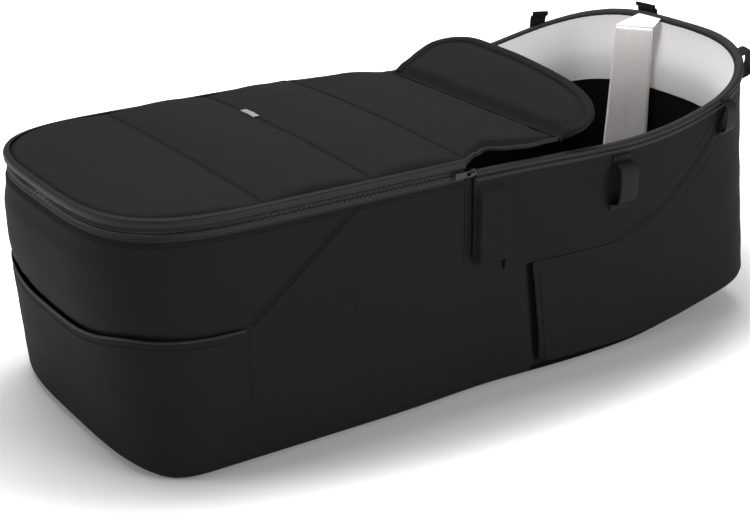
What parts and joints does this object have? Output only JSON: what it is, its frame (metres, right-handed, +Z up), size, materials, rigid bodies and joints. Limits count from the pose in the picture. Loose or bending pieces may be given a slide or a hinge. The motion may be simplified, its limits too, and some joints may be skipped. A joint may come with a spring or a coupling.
{
  "type": "carrycot",
  "caption": "Soft fabric carrycot with a zip-on quilted apron, folding wind flap, lining, mattress, pockets and webbing loops for its frame and hood.",
  "frame": {"origin": "centre of the length along the rim and of the width, on the floor cloth's underside", "axes": "+X towards the head end, +Y towards the far side of the picture, +Z up"},
  "size_m": [0.8188, 0.37, 0.3012],
  "materials": {
    "shell_cloth": "matt woven polyester",
    "trim_cloth": "folded grosgrain binding",
    "webbing": "matt woven webbing",
    "foam": "closed-cell foam board",
    "pale_cloth": "pale grey brushed cloth",
    "dark_lining": "matt dark cloth",
    "mattress_cloth": "matt knitted cover",
    "board": "matt moulded board",
    "zip_metal": "dark plated",
    "zip_coil": "satin coil",
    "zip_tape": "woven tape",
    "tag_cloth": "pale grey woven tag, blank"
  },
  "bodies": {
    "tub": {"floor_cloth": "shell_cloth", "foot_panel": "shell_cloth", "head_panel": "shell_cloth", "foot_pocket": "shell_cloth", "near_side_panel": "shell_cloth", "far_side_panel": "shell_cloth", "near_side_pocket": "shell_cloth", "far_side_pocket": "shell_cloth", "near_yoke": "shell_cloth", "far_yoke": "shell_cloth", "near_hub_flap": "shell_cloth", "far_hub_flap": "shell_cloth", "foot_pocket_lip": "trim_cloth", "rim_binding": "trim_cloth", "near_side_loop": "webbing", "far_side_loop": "webbing", "near_corner_loop": "webbing", "far_corner_loop": "webbing", "near_head_loop": "webbing", "far_head_loop": "webbing", "foot_foam": "foam", "head_foam": "foam", "near_side_foam": "foam", "far_side_foam": "foam", "upper_lining": "pale_cloth", "stay_hinge_strip": "pale_cloth", "lower_lining": "dark_lining", "mattress": "mattress_cloth", "base_board": "board", "body_zip_coil": "zip_coil", "body_zip_tape": "zip_tape"},
    "apron": {"apron_quilt": "shell_cloth", "apron_band": "shell_cloth", "apron_piping": "trim_cloth", "apron_zip_tape": "zip_tape", "apron_zip_coil": "zip_coil", "blank_tag": "tag_cloth"},
    "wind_flap": {"wind_flap": "shell_cloth", "flap_binding": "trim_cloth"},
    "near_slider": {"near_slider": "zip_metal"},
    "far_slider": {"far_slider": "zip_metal"},
    "near_puller": {"near_puller": "zip_metal"},
    "far_puller": {"far_puller": "zip_metal"},
    "head_stay": {"head_stay": "pale_cloth"}
  },
  "joints": [
    {"name": "apron_lift", "type": "hinge", "parent": "tub", "child": "apron", "pos_m": [-0.4021, 0, 0.2424], "axis": [0, -1, 0], "range_deg": [0, 100]},
    {"name": "wind_flap_fold", "type": "hinge", "parent": "apron", "child": "wind_flap", "pos_m": [0.0873, 0, 0.2607], "axis": [0, -1, 0], "range_deg": [-15, 140]},
    {"name": "near_slider_travel", "type": "slide", "parent": "tub", "child": "near_slider", "axis": [-1, 0, 0], "range_m": [0, 0.15]},
    {"name": "far_slider_travel", "type": "slide", "parent": "tub", "child": "far_slider", "axis": [-1, 0, 0], "range_m": [0, 0.15]},
    {"name": "near_puller_swing", "type": "hinge", "parent": "near_slider", "child": "near_puller", "pos_m": [-0.0282, -0.17345, 0.2424], "axis": [0, 0, 1], "range_deg": [0, 150]},
    {"name": "far_puller_swing", "type": "hinge", "parent": "far_slider", "child": "far_puller", "pos_m": [-0.0282, 0.17345, 0.2424], "axis": [0, 0, -1], "range_deg": [0, 150]},
    {"name": "head_stay_tilt", "type": "hinge", "parent": "tub", "child": "head_stay", "pos_m": [0.3635, 0.0385, 0.2887], "axis": [-0.6157, 0.788, 0], "range_deg": [0, 25]}
  ]
}
